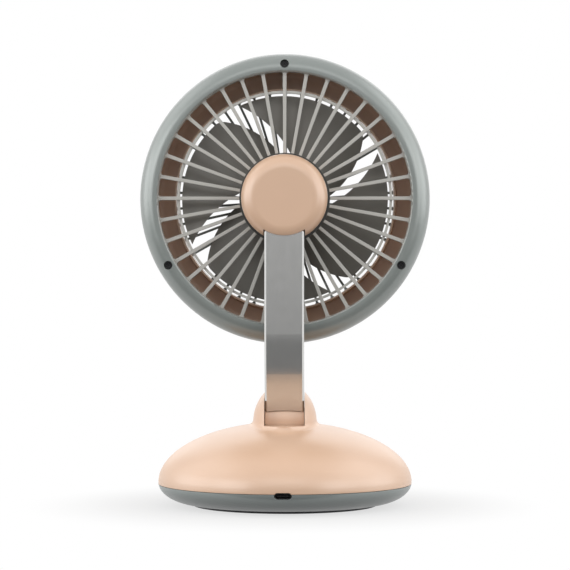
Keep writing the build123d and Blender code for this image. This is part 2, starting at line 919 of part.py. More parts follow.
# Arm, its cover strip and the lead inside
channel_top = head_height - channel_top_below_hub
cover_top = head_height - cover_top_below_hub
cover_depth = arm_thickness - cover_thickness
with BuildPart() as arm_shell:
    with BuildSketch(Plane.YZ):
        draw_arm(0, arm_thickness, tenon_start, arm_top)
    extrude(amount=arm_half_width, both=True)
    chamfer(edges().filter_by(Axis.X, reverse=True), length=arm_edge)
    with BuildSketch(hinge_section):
        draw_barrel(arm_end_gap)
    revolve(axis=hinge_axis, mode=Mode.SUBTRACT)
    with BuildSketch(arm_foot(tenon_depth, tenon_start)):
        Rectangle(2 * tenon_half_width, tenon_thickness)
    extrude(amount=tenon_tip - tenon_start)
    with BuildSketch(Plane.YZ):
        draw_arm(channel_depth, arm_thickness + overrun, channel_start, channel_top)
    extrude(amount=channel_half_width, both=True, mode=Mode.SUBTRACT)
    with BuildSketch(Plane.YZ):
        draw_arm(cover_depth, arm_thickness + overrun, channel_start, cover_top)
    extrude(amount=cover_half_width, both=True, mode=Mode.SUBTRACT)
    add_posts(
        arm_foot(tenon_depth, 0),
        barrel_screw_places,
        barrel_screw_radius + fit_gap,
        barrel_screw_length - barrel_screw_seat + fit_gap,
        Mode.SUBTRACT,
    )
    add_posts(
        arm_foot(lead_depth, 0), [(0, 0)], lead_hole_radius, channel_start + overrun, Mode.SUBTRACT
    )
    add_posts(
        head_plan(arm_rear_y + overrun),
        hub_screw_places,
        hub_screw_head_radius + fit_gap,
        overrun + hub_screw_head_sink + screw_head_height,
        Mode.SUBTRACT,
    )
    add_posts(
        head_plan(arm_rear_y + overrun),
        hub_screw_places,
        hub_screw_radius + fit_gap,
        arm_thickness + 2 * overrun,
        Mode.SUBTRACT,
    )
arm_shell.part.label = "arm_shell"
export_step(arm_shell.part, "parts/arm_shell.step")

with BuildPart() as arm_cover:
    with BuildSketch(Plane.YZ):
        draw_arm(cover_depth, arm_thickness, channel_start + fit_gap, cover_top - fit_gap)
    extrude(amount=cover_half_width - fit_gap, both=True)
arm_cover.part.label = "arm_cover"
export_step(arm_cover.part, "parts/arm_cover.step")

lead_turn_height = head_height - lead_turn_below_hub
with BuildPart() as motor_lead:
    with BuildLine(Plane.YZ) as lead_route:
        FilletPolyline(
            arm_point(lead_depth, -barrel_screw_seat),
            arm_corner(lead_depth),
            (arm_rear_y - lead_depth, lead_turn_height),
            (plate_front_y, lead_turn_height),
            radius=(arm_bend_radius - lead_depth, lead_turn_radius),
        )
    with BuildSketch(arm_foot(lead_depth, -barrel_screw_seat)):
        Circle(lead_radius)
    sweep(path=lead_route.wires()[0])
motor_lead.part.label = "motor_lead"
export_step(motor_lead.part, "parts/motor_lead.step")

# Rear grille: ring, spokes, thin ring, motor plate and arm pad in one moulding
with BuildSketch() as rear_vent:
    draw_vent(
        rear_spokes,
        plate_radius,
        ring_inner_radius,
        rear_spoke_inner_width,
        rear_spoke_outer_width,
        spoke_corner,
    )

ring_flat_radius = ring_inner_radius + ring_wall


def draw_ring(inset):
    """Rounded part of the rear ring's section, from its flat inner rim to its outer wall, moved in by inset."""
    with BuildLine() as outline:
        EllipticalCenterArc(
            (ring_flat_radius, ring_shoulder_y),
            head_radius - ring_flat_radius - inset,
            ring_apex_y - ring_shoulder_y - inset,
            start_angle=0,
            arc_size=90,
        )
        Polyline(
            (ring_flat_radius, ring_apex_y - inset),
            (ring_flat_radius, parting_y),
            (head_radius - inset, parting_y),
            (head_radius - inset, ring_shoulder_y),
        )
    make_face(outline.line)


with BuildPart() as rear_grille:
    with BuildSketch(head_section):
        draw_ring(0)
        ring_section(ring_inner_radius, ring_flat_radius, parting_y, ring_apex_y)
    revolve(axis=head_axis)
    inner_rim = edges().filter_by(GeomType.CIRCLE).group_by(Axis.Y)[-1].sort_by(SortBy.RADIUS)[0]
    fillet(inner_rim, radius=ring_edge)
    with BuildSketch(head_section):
        draw_ring(ring_wall)
    revolve(axis=head_axis, mode=Mode.SUBTRACT)
    add_ring(
        ring_inner_radius - overrun,
        ring_flat_radius + overrun,
        parting_y - overrun,
        plate_front_y,
        Mode.SUBTRACT,
    )
    with BuildSketch(head_plan(spoke_rear_y)):
        Circle(ring_flat_radius)
        with PolarLocations(0, rear_spokes, start_angle=90 + 180 / rear_spokes):
            add(rear_vent.sketch, mode=Mode.SUBTRACT)
    extrude(amount=spoke_depth)
    add_ring(
        thin_ring_radius - thin_ring_width / 2,
        thin_ring_radius + thin_ring_width / 2,
        plate_front_y,
        plate_front_y + thin_ring_depth,
    )
    add_ring(
        plate_collar_radius - plate_collar_wall,
        plate_collar_radius,
        spoke_rear_y,
        spoke_rear_y + plate_collar_height,
    )
    with BuildSketch(head_plan(arm_front_y)):
        Circle(arm_pad_radius)
    extrude(amount=arm_front_y - spoke_rear_y)
    add_posts(head_plan(ring_apex_y), head_screw_places, head_boss_radius, ring_apex_y - parting_y)
    with BuildSketch(head_section):
        draw_ring(0)
        ring_section(0, ring_flat_radius, parting_y, cap_rear_y)
    revolve(axis=head_axis, mode=Mode.INTERSECT)
    add_posts(
        head_plan(ring_apex_y + overrun),
        head_screw_places,
        head_screw_recess_radius,
        ring_apex_y + overrun - head_screw_seat_y,
        Mode.SUBTRACT,
    )
    add_posts(
        head_plan(ring_apex_y),
        head_screw_places,
        head_screw_radius + fit_gap,
        ring_apex_y - parting_y + overrun,
        Mode.SUBTRACT,
    )
    add_posts(
        head_plan(arm_front_y + overrun),
        hub_screw_places,
        hub_screw_radius + fit_gap,
        hub_screw_length + fit_gap,
        Mode.SUBTRACT,
    )
    with BuildSketch(head_plan(spoke_rear_y)):
        Circle(bearing_tube_radius + fit_gap)
        with Locations((0, -lead_turn_below_hub)):
            Circle(lead_port_radius)
    extrude(amount=spoke_depth, mode=Mode.SUBTRACT)
rear_grille.part.label = "rear_grille"
export_step(rear_grille.part, "parts/rear_grille.step")

# Screws seen on the rear ring
with BuildPart() as head_screws:
    add_screws(
        head_back(head_screw_seat_y),
        head_screw_places,
        head_screw_head_radius,
        head_screw_radius,
        head_screw_length,
    )
head_screws.part.label = "head_screws"
export_step(head_screws.part, "parts/head_screws.step")

# Screws that hold the arm's top to the motor plate, under the hub cap
with BuildPart() as hub_screws:
    add_screws(
        head_back(arm_rear_y - hub_screw_head_sink - screw_head_height),
        [(-x, z) for x, z in hub_screw_places],
        hub_screw_head_radius,
        hub_screw_radius,
        hub_screw_length,
    )
hub_screws.part.label = "hub_screws"
export_step(hub_screws.part, "parts/hub_screws.step")


def draw_cap(inset, front_y):
    """Half section of the hub cap moved in by inset."""
    with BuildLine() as outline:
        CenterArc((cap_radius - cap_round, cap_rear_y - cap_round), cap_round - inset, 0, 90)
        Polyline(
            (cap_radius - cap_round, cap_rear_y - inset),
            (0, cap_rear_y - inset),
            (0, front_y),
            (cap_radius - inset, front_y),
            (cap_radius - inset, cap_rear_y - cap_round),
        )
    make_face(outline.line)


with BuildPart() as hub_cap:
    with BuildSketch(head_section):
        draw_cap(0, spoke_rear_y + cap_line)
    revolve(axis=head_axis)
    with BuildSketch(head_section):
        draw_cap(cap_wall, spoke_rear_y)
    revolve(axis=head_axis, mode=Mode.SUBTRACT)
    with BuildSketch(head_plan(arm_rear_y + cap_notch_gap)):
        with Locations((0, -cap_notch_top_below_hub)):
            Rectangle(2 * cap_notch_half, cap_radius, align=(Align.CENTER, Align.MAX))
    extrude(amount=cap_rear_y, mode=Mode.SUBTRACT)
hub_cap.part.label = "hub_cap"
export_step(hub_cap.part, "parts/hub_cap.step")

# Front housing with the air duct and a seat for the front grille
front_flat_radius = front_radius - front_round
rebate_radius = duct_radius + rebate_width
front_floor_y = front_y + rebate_depth + rebate_floor
front_lip_radius = head_radius - ring_wall - lip_gap
boss_share = (head_screw_circle - front_flat_radius) / (front_round - ring_wall)  # of the way round the edge
boss_front_y = front_shoulder_y - (front_shoulder_y - front_floor_y) * sqrt(1 - boss_share**2)
with BuildPart() as front_housing:
    with BuildSketch(head_section):
        with BuildLine():
            EllipticalCenterArc(
                (front_flat_radius, front_shoulder_y),
                front_round,
                front_shoulder_y - front_y,
                start_angle=270,
                arc_size=90,
            )
            Polyline(
                (front_flat_radius, front_y),
                (duct_radius, front_y),
                (duct_radius, parting_y - shell_gap),
                (front_radius, parting_y - shell_gap),
                (front_radius, front_shoulder_y),
            )
        make_face()
    revolve(axis=head_axis)
    with BuildSketch(head_section):
        with BuildLine():
            EllipticalCenterArc(
                (front_flat_radius, front_shoulder_y),
                front_round - ring_wall,
                front_shoulder_y - front_floor_y,
                start_angle=270,
                arc_size=90,
            )
            Polyline(
                (front_flat_radius, front_floor_y),
                (duct_radius + duct_wall, front_floor_y),
                (duct_radius + duct_rim, parting_y),
                (front_radius - ring_wall, parting_y),
                (front_radius - ring_wall, front_shoulder_y),
            )
        make_face()
    revolve(axis=head_axis, mode=Mode.SUBTRACT)
    add_ring(duct_radius - overrun, duct_radius + duct_wall + overrun, duct_rear_y, parting_y, Mode.SUBTRACT)
    add_ring(duct_radius - overrun, rebate_radius, front_y - overrun, front_y + rebate_depth, Mode.SUBTRACT)
    add_ring(
        front_lip_radius - front_lip_wall,
        front_lip_radius,
        parting_y - front_lip_reach,
        parting_y + front_lip_reach,
    )
    add_posts(
        head_plan(parting_y - fit_gap),
        head_screw_places,
        head_boss_radius,
        parting_y - fit_gap - boss_front_y,
    )
    add_posts(
        head_plan(parting_y + front_lip_reach + overrun),
        head_screw_places,
        head_boss_radius + lip_gap,
        front_lip_reach + overrun + fit_gap,
        Mode.SUBTRACT,
    )
    add_posts(
        head_plan(parting_y),
        head_screw_places,
        head_screw_radius + fit_gap,
        head_screw_length - head_screw_seat_y + parting_y + fit_gap,
        Mode.SUBTRACT,
    )
front_housing.part.label = "front_housing"
export_step(front_housing.part, "parts/front_housing.step")

# Front grille: a bulged plate with narrow spokes
grille_radius = rebate_radius - lip_gap
grille_sphere_radius = (duct_radius**2 + grille_bulge**2) / (2 * grille_bulge)
grille_seat_y = front_y + rebate_depth
grille_front_y = grille_seat_y - grille_thickness


def bulge_y(radius):
    """Depth of the grille's rear face at one radius inside its flat rim."""
    return grille_seat_y - grille_bulge + grille_sphere_radius - sqrt(grille_sphere_radius**2 - radius**2)


with BuildSketch() as front_vent:
    draw_vent(
        front_spokes,
        front_disc_radius,
        duct_radius,
        front_spoke_width,
        front_spoke_width,
        front_spoke_corner,
    )

with BuildPart() as front_grille:
    with BuildSketch(head_section):
        with BuildLine():
            middle_radius = duct_radius / 2
            ThreePointArc(
                (0, bulge_y(0)), (middle_radius, bulge_y(middle_radius)), (duct_radius, grille_seat_y)
            )
            Polyline(
                (duct_radius, grille_seat_y),
                (grille_radius, grille_seat_y),
                (grille_radius, grille_front_y),
                (duct_radius, grille_front_y),
            )
            ThreePointArc(
                (duct_radius, grille_front_y),
                (middle_radius, bulge_y(middle_radius) - grille_thickness),
                (0, bulge_y(0) - grille_thickness),
            )
            Line((0, bulge_y(0) - grille_thickness), (0, bulge_y(0)))
        make_face()
    revolve(axis=head_axis)
    with BuildSketch(head_plan(grille_seat_y + overrun)):
        with PolarLocations(0, front_spokes, start_angle=90 + 180 / front_spokes):
            add(front_vent.sketch)
    extrude(amount=grille_bulge + grille_thickness + 2 * overrun, mode=Mode.SUBTRACT)
front_grille.part.label = "front_grille"
export_step(front_grille.part, "parts/front_grille.step")

# Front cap, seated on the grille's middle with the same bulge
cap_seat_y = bulge_y(0) - grille_thickness
cap_rim_y = bulge_y(front_cap_radius) - grille_thickness
cap_middle_radius = front_cap_radius / 2
cap_middle_y = bulge_y(cap_middle_radius) - grille_thickness
with BuildPart() as front_cap:
    with BuildSketch(head_section):
        with BuildLine():
            ThreePointArc((0, cap_seat_y), (cap_middle_radius, cap_middle_y), (front_cap_radius, cap_rim_y))
            Line((front_cap_radius, cap_rim_y), (front_cap_radius, cap_rim_y - front_cap_thickness))
            ThreePointArc(
                (front_cap_radius, cap_rim_y - front_cap_thickness),
                (cap_middle_radius, cap_middle_y - front_cap_thickness),
                (0, cap_seat_y - front_cap_thickness),
            )
            Line((0, cap_seat_y - front_cap_thickness), (0, cap_seat_y))
        make_face()
    revolve(axis=head_axis)
    fillet(edges().filter_by(Plane.XZ).sort_by(Axis.Y)[0], radius=front_cap_edge)
front_cap.part.label = "front_cap"
export_step(front_cap.part, "parts/front_cap.step")

# Motor: bearing tube, bearings, stator and its board
with BuildPart() as bearing_tube:
    add_ring(tube_inner_radius, bearing_tube_radius, tube_front_y, spoke_rear_y)
bearing_tube.part.label = "bearing_tube"
export_step(bearing_tube.part, "parts/bearing_tube.step")

front_bearing_y = tube_front_y + bearing_inset
with BuildPart() as motor_bearings:
    for bearing_y in (front_bearing_y, rear_bearing_y):
        add_ring(
            shaft_radius + running_gap, tube_inner_radius - fit_gap, bearing_y, bearing_y + bearing_length
        )
motor_bearings.part.label = "motor_bearings"
export_step(motor_bearings.part, "parts/motor_bearings.step")

with BuildPart() as motor_board:
    add_ring(
        bearing_tube_radius + fit_gap, motor_board_radius, plate_front_y - motor_board_thickness, plate_front_y
    )
motor_board.part.label = "motor_board"
export_step(motor_board.part, "parts/motor_board.step")

stator_rear_y = stator_front_y + stator_length
with BuildPart() as stator_core:
    with BuildSketch(head_plan(stator_rear_y)):
        Circle(stator_radius)
        Circle(stator_tip_radius, mode=Mode.SUBTRACT)
        with PolarLocations(stator_radius, tooth_count, start_angle=180 / tooth_count):
            Rectangle(stator_radius, stator_tip_gap, mode=Mode.SUBTRACT)
        with PolarLocations(0, tooth_count):
            with Locations((stator_tip_radius / 2, 0)):
                Rectangle(stator_tip_radius + stator_tip_gap / 2, tooth_width)
        Circle(stator_yoke_radius)
        Circle(bearing_tube_radius + fit_gap, mode=Mode.SUBTRACT)
    extrude(amount=stator_length)
stator_core.part.label = "stator_core"
export_step(stator_core.part, "parts/stator_core.step")

coil_middle = (coil_inner_radius + coil_outer_radius) / 2
coil_reach = coil_outer_radius - coil_inner_radius
with BuildPart() as stator_coils:
    with BuildSketch(head_plan(stator_rear_y + coil_end)):
        with PolarLocations(0, tooth_count):
            with Locations((coil_middle, 0)):
                Rectangle(coil_reach, coil_width)
    extrude(amount=stator_length + 2 * coil_end)
    with BuildSketch(head_plan(stator_rear_y + fit_gap)):
        with PolarLocations(0, tooth_count):
            with Locations((coil_middle, 0)):
                Rectangle(coil_reach + overrun, tooth_width + 2 * fit_gap)
    extrude(amount=stator_length + 2 * fit_gap, mode=Mode.SUBTRACT)
stator_coils.part.label = "stator_coils"
export_step(stator_coils.part, "parts/stator_coils.step")

# Rotor: shaft, clip, steel cup, magnet ring
with BuildPart() as motor_shaft:
    with BuildSketch(head_plan(shaft_rear_y)):
        Circle(shaft_radius)
    extrude(amount=shaft_rear_y - shaft_front_y)
motor_shaft.part.label = "motor_shaft"
export_step(motor_shaft.part, "parts/motor_shaft.step")

clip_front_y = rear_bearing_y + bearing_length + clip_gap
with BuildPart() as shaft_clip:
    add_ring(shaft_radius + fit_gap, clip_radius, clip_front_y, clip_front_y + clip_thickness)
shaft_clip.part.label = "shaft_clip"
export_step(shaft_clip.part, "parts/shaft_clip.step")

with BuildPart() as rotor_cup:
    add_ring(shaft_radius + fit_gap, cup_radius, cup_front_y, cup_rear_y)
    add_ring(0, cup_inner_radius, cup_front_y + cup_wall, cup_rear_y + overrun, Mode.SUBTRACT)
rotor_cup.part.label = "rotor_cup"
export_step(rotor_cup.part, "parts/rotor_cup.step")

with BuildPart() as magnet_ring:
    add_ring(magnet_inner_radius, cup_inner_radius - fit_gap, magnet_front_y, magnet_rear_y)
magnet_ring.part.label = "magnet_ring"
export_step(magnet_ring.part, "parts/magnet_ring.step")

# Impeller: one blade is a twisted slab, cut to the swept outline, then copied round the hub
blade_span = blade_tip_radius + 2 * section_margin
with BuildPart() as blade:
    sweep_x, sweep_z = polar(blade_tip_radius, lead_edge_tip)
    root_x, root_z = polar(blade_root_radius, lead_edge_root)
    first_turn = -section_overlap
    last_turn = trail_edge_tip - lead_edge_tip + 2 * section_overlap
    for index in range(blade_sections):
        share = index / (blade_sections - 1)
        turn = first_turn + share * (last_turn - first_turn)
        drop = blade_drop * (share + blade_camber_share * share * (share - 1))
        line_dir = Vector(sweep_x - root_x, 0, sweep_z - root_z).normalized().rotate(Axis.Y, -turn)
        start = Vector(root_x, 0, root_z).rotate(Axis.Y, -turn)
        plane = Plane(
            (start.X, blade_lead_y - drop, head_height + start.Z),
            x_dir=line_dir,
            z_dir=line_dir.cross(Vector(0, 1, 0)),
        )
        with BuildSketch(plane):
            with Locations((-section_margin, 0)):
                Rectangle(blade_span, blade_thickness, align=(Align.MIN, Align.CENTER))
    loft()
    with BuildSketch(head_plan(blade_lead_y + section_margin)):
        with BuildLine():
            ThreePointArc(
                polar(blade_root_radius, lead_edge_root),
                polar(blade_middle_radius, lead_edge_middle),
                polar(blade_tip_radius, lead_edge_tip),
            )
            ThreePointArc(
                polar(blade_tip_radius, lead_edge_tip),
                polar(blade_tip_radius, (lead_edge_tip + trail_edge_tip) / 2),
                polar(blade_tip_radius, trail_edge_tip),
            )
            ThreePointArc(
                polar(blade_tip_radius, trail_edge_tip),
                polar(blade_middle_radius, trail_edge_middle),
                polar(blade_root_radius, trail_edge_root),
            )
            ThreePointArc(
                polar(blade_root_radius, trail_edge_root),
                polar(blade_root_radius, (lead_edge_root + trail_edge_root) / 2),
                polar(blade_root_radius, lead_edge_root),
            )
        make_face()
        trail_tip = vertices().sort_by_distance(Vector(*polar(blade_tip_radius, trail_edge_tip)))[0]
        fillet(trail_tip, radius=blade_corner)
    extrude(amount=blade_drop + 2 * section_margin, mode=Mode.INTERSECT)

with BuildPart() as fan_impeller:
    with BuildSketch(head_section):
        hub_front_y = cup_front_y - hub_wall
        ring_section(0, hub_radius, hub_front_y, hub_rear_y)
    revolve(axis=head_axis)
    fillet(faces().sort_by(Axis.Y)[0].edges(), radius=hub_edge)
    for copy_index in range(blade_count):
        add(blade.part.rotate(head_axis, 360 * copy_index / blade_count))
    add_ring(0, cup_radius + fit_gap, cup_front_y, cup_rear_y + overrun, Mode.SUBTRACT)
    with BuildSketch(head_plan(cup_front_y)):
        Circle(shaft_radius + fit_gap)
    extrude(amount=cup_front_y - shaft_front_y + fit_gap, mode=Mode.SUBTRACT)
fan_impeller.part.label = "fan_impeller"
export_step(fan_impeller.part, "parts/fan_impeller.step")
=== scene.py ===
import json
import math

import bpy
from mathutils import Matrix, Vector

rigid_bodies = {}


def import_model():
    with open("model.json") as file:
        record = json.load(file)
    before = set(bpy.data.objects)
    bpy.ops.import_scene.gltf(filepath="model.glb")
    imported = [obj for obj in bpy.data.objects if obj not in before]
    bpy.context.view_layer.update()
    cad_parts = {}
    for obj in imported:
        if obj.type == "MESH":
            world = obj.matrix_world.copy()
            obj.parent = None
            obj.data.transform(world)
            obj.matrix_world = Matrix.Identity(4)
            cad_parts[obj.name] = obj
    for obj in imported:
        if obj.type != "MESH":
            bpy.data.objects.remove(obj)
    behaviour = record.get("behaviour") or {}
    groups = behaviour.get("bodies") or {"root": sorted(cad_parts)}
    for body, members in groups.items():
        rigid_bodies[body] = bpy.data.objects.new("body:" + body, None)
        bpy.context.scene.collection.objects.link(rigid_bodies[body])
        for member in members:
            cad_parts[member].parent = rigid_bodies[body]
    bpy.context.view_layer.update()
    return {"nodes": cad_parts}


# Anything that Blender starts with would count as a loose piece
for leftover in list(bpy.data.objects):
    bpy.data.objects.remove(leftover)

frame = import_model()
nodes = frame["nodes"]

# Metres: the head's axis above the table, and radii around that axis between which the colour or the normal
# changes
HEAD_HEIGHT = 0.1703
# Within the first radii the grille's middle plate turns dark: a painted shadow round the hub cap
PLATE_RIM_PAINTED_SHADOW = (0.0249, 0.0253)
SPOKE_ENDS = (0.0695, 0.0705)
CAP_MIDDLE = (0.005, 0.009)
# Heights between which the lower shell's colour darkens downwards, a painted shade
SHELL_PAINTED_SHADE = (0.0115, 0.002)

scene = bpy.context.scene
scene.view_settings.view_transform = "Standard"


# Camera: level, behind the fan and a little to its right
CAMERA_DISTANCE = 1.23
CAMERA_HEIGHT = 0.1224
CAMERA_AZIMUTH = math.radians(180.9)
CAMERA_LENS = 139.3

camera_data = bpy.data.cameras.new("camera")
camera_data.sensor_width = 36.0
camera_data.lens = CAMERA_LENS
camera_data.clip_start = 0.05
camera_data.clip_end = 50.0
camera = bpy.data.objects.new("camera", camera_data)
scene.collection.objects.link(camera)
towards_camera = Vector((math.sin(CAMERA_AZIMUTH), -math.cos(CAMERA_AZIMUTH), 0.0))
camera.location = towards_camera * CAMERA_DISTANCE + Vector((0.0, 0.0, CAMERA_HEIGHT))
camera.rotation_mode = "QUATERNION"
camera.rotation_quaternion = (-towards_camera).to_track_quat("-Z", "Y")
scene.camera = camera


# Lights
MIDDLE = Vector((0.0, 0.0, 0.13))


def softbox(name, turn, rise, distance, width, height, brightness):
    """A flat lamp aimed at the fan; turn is degrees from the camera's side, rise degrees above level."""
    turn = math.radians(turn)
    rise = math.radians(rise)
    direction = Vector((math.sin(turn) * math.cos(rise), math.cos(turn) * math.cos(rise), math.sin(rise)))
    light_data = bpy.data.lights.new(name, "AREA")
    light_data.shape = "RECTANGLE"
    light_data.size = width
    light_data.size_y = height
    light_data.energy = brightness * math.pi * width * height
    light = bpy.data.objects.new(name, light_data)
    scene.collection.objects.link(light)
    light.visible_camera = False
    light.location = MIDDLE + direction * distance
    light.rotation_mode = "QUATERNION"
    light.rotation_quaternion = (-direction).to_track_quat("-Z", "Y")
    return light


# turn, rise, distance, width, height, brightness
lamps = (
    softbox("light_left", 95.0, 28.0, 1.3, 1.2, 1.5, 0.98),
    softbox("light_right", -95.0, 28.0, 1.3, 1.2, 1.5, 1.2),
    softbox("light_left_front", 50.0, 15.0, 1.6, 0.9, 0.9, 2.85),
    softbox("light_right_front", -50.0, 15.0, 1.6, 0.9, 0.9, 2.3),
    softbox("light_front", 0.0, 30.0, 1.7, 1.2, 0.8, 1.45),
    softbox("light_back", 180.0, 25.0, 1.8, 2.0, 1.2, 0.7),
    softbox("light_left_low", 88.0, 8.0, 1.3, 0.9, 0.6, 1.4),
    softbox("light_right_low", -88.0, 8.0, 1.3, 0.9, 0.6, 1.0),
)

# The bright arm mirrors the white studio; the lamps on top of that would burn it out
without_lamps = bpy.data.collections.new("without_lamps")
without_lamps.objects.link(nodes["arm_shell"])
without_lamps.collection_objects[0].light_linking.link_state = "EXCLUDE"
for lamp in lamps:
    lamp.light_linking.receiver_collection = without_lamps


WHITE = (1.0, 1.0, 1.0, 1.0)


def cleared_tree(owner):
    """The node tree of a new material or world, emptied."""
    owner.use_nodes = True
    owner.node_tree.nodes.clear()
    return owner.node_tree


def white_light(tree, kind, strength):
    """A background or emission shader, white."""
    shader = tree.nodes.new(kind)
    shader.inputs["Color"].default_value = WHITE
    shader.inputs["Strength"].default_value = strength
    return shader


def seen_rays(tree):
    """1 for rays from the camera, mirrors and glass; 0 for the light that falls on the object."""
    path = tree.nodes.new("ShaderNodeLightPath")
    either = tree.nodes.new("ShaderNodeMath")
    either.operation = "MAXIMUM"
    tree.links.new(path.outputs["Is Camera Ray"], either.inputs[0])
    tree.links.new(path.outputs["Is Glossy Ray"], either.inputs[1])
    seen = tree.nodes.new("ShaderNodeMath")
    seen.operation = "MAXIMUM"
    tree.links.new(either.outputs[0], seen.inputs[0])
    tree.links.new(path.outputs["Is Transmission Ray"], seen.inputs[1])
    return seen.outputs[0]


world = bpy.data.worlds.new("studio")
scene.world = world
tree = cleared_tree(world)
world_output = tree.nodes.new("ShaderNodeOutputWorld")
fill = white_light(tree, "ShaderNodeBackground", 0.56)
white = white_light(tree, "ShaderNodeBackground", 1.0)
either = tree.nodes.new("ShaderNodeMixShader")
tree.links.new(seen_rays(tree), either.inputs[0])
tree.links.new(fill.outputs[0], either.inputs[1])
tree.links.new(white.outputs[0], either.inputs[2])
tree.links.new(either.outputs[0], world_output.inputs["Surface"])


# Floor: pale, white to the camera, and it keeps the shadow
FLOOR_RADIUS = 8.0
FLOOR_STEPS = 96
FLOOR_DROP = 0.0002  # keeps the floor off the foot's own face
SHADOW_START = 0.072
SHADOW_END = 0.15
floor_mesh = bpy.data.meshes.new("floor")
turns = [2 * math.pi * k / FLOOR_STEPS for k in range(FLOOR_STEPS)]
rim = [(FLOOR_RADIUS * math.cos(turn), FLOOR_RADIUS * math.sin(turn), 0.0) for turn in turns]
floor_mesh.from_pydata(rim, [], [list(range(FLOOR_STEPS))])
floor = bpy.data.objects.new("floor", floor_mesh)
floor.location.z = -FLOOR_DROP
scene.collection.objects.link(floor)
floor_material = bpy.data.materials.new("pale_floor")
tree = cleared_tree(floor_material)
floor_output = tree.nodes.new("ShaderNodeOutputMaterial")
floor_matt = tree.nodes.new("ShaderNodeBsdfDiffuse")
floor_matt.inputs["Color"].default_value = (0.2, 0.2, 0.2, 1.0)
floor_white = white_light(tree, "ShaderNodeEmission", 1.0)
floor_lift = white_light(tree, "ShaderNodeEmission", 0.68)
floor_sum = tree.nodes.new("ShaderNodeAddShader")
tree.links.new(floor_matt.outputs[0], floor_sum.inputs[0])
tree.links.new(floor_lift.outputs[0], floor_sum.inputs[1])
# The shadow stays near the fan, and the floor runs out into plain white further away
place = tree.nodes.new("ShaderNodeTexCoord")
span = tree.nodes.new("ShaderNodeVectorMath")
span.operation = "LENGTH"
tree.links.new(place.outputs["Object"], span.inputs[0])
away = tree.nodes.new("ShaderNodeMapRange")
away.interpolation_type = "SMOOTHSTEP"
away.inputs["From Min"].default_value = SHADOW_START
away.inputs["From Max"].default_value = SHADOW_END
tree.links.new(span.outputs["Value"], away.inputs["Value"])
floor_shown = tree.nodes.new("ShaderNodeMixShader")
tree.links.new(away.outputs["Result"], floor_shown.inputs[0])
tree.links.new(floor_sum.outputs[0], floor_shown.inputs[1])
tree.links.new(floor_white.outputs[0], floor_shown.inputs[2])
floor_mix = tree.nodes.new("ShaderNodeMixShader")
tree.links.new(seen_rays(tree), floor_mix.inputs[0])
tree.links.new(floor_matt.outputs[0], floor_mix.inputs[1])
tree.links.new(floor_shown.outputs[0], floor_mix.inputs[2])
tree.links.new(floor_mix.outputs[0], floor_output.inputs["Surface"])
floor.data.materials.append(floor_material)


# Grey card under and behind the camera, seen only in reflections; it stands for the grey that the
# photo's arm mirrors
CARD_HALF_WIDTH = 1.2
CARD_START = 0.073
CARD_BACK = 2.0
CARD_TOP = 1.4
CARD_BEND = 0.5
CARD_STEPS = 9
CARD_LIFT = 0.001
CARD_SHADE_HEIGHT = 0.1
CARD_LOW_LIGHT = 0.22
CARD_HIGH_LIGHT = 0.5
card_side = [(CARD_START, CARD_LIFT), (CARD_BACK - CARD_BEND, CARD_LIFT)]
for k in range(1, CARD_STEPS):
    turn = math.pi / 2 * k / CARD_STEPS
    card_y = CARD_BACK - CARD_BEND * (1 - math.sin(turn))
    card_side.append((card_y, CARD_LIFT + CARD_BEND * (1 - math.cos(turn))))
card_side += [(CARD_BACK, CARD_LIFT + CARD_BEND), (CARD_BACK, CARD_TOP)]
card_mesh = bpy.data.meshes.new("grey_card")
card_mesh.from_pydata(
    [(side * CARD_HALF_WIDTH, y, z) for y, z in card_side for side in (-1, 1)],
    [],
    [(2 * k, 2 * k + 1, 2 * k + 3, 2 * k + 2) for k in range(len(card_side) - 1)],
)
card = bpy.data.objects.new("grey_card", card_mesh)
scene.collection.objects.link(card)
card.visible_camera = False
card.visible_diffuse = False
card.visible_shadow = False
card_material = bpy.data.materials.new("grey_card")
tree = cleared_tree(card_material)
card_output = tree.nodes.new("ShaderNodeOutputMaterial")
card_grey = tree.nodes.new("ShaderNodeEmission")
place = tree.nodes.new("ShaderNodeTexCoord")
axes = tree.nodes.new("ShaderNodeSeparateXYZ")
tree.links.new(place.outputs["Object"], axes.inputs[0])
rise = tree.nodes.new("ShaderNodeMapRange")
rise.interpolation_type = "SMOOTHSTEP"
rise.inputs["From Min"].default_value = 0.0
rise.inputs["From Max"].default_value = CARD_SHADE_HEIGHT
rise.inputs["To Min"].default_value = CARD_LOW_LIGHT
rise.inputs["To Max"].default_value = CARD_HIGH_LIGHT
tree.links.new(axes.outputs["Z"], rise.inputs["Value"])
tree.links.new(rise.outputs["Result"], card_grey.inputs["Strength"])
tree.links.new(card_grey.outputs[0], card_output.inputs["Surface"])
card.data.materials.append(card_material)


# Materials
ROUGHNESS_SWING = 0.04  # kept small: plastics whose roughness crossed about 0.27 rendered blotchy


def srgb(red, green, blue):
    """A colour written as it looks on screen, from 0 to 255, as the linear values that shaders take."""

    def linear(value):
        value = value / 255
        return value / 12.92 if value <= 0.04045 else ((value + 0.055) / 1.055) ** 2.4

    return (linear(red), linear(green), linear(blue), 1.0)


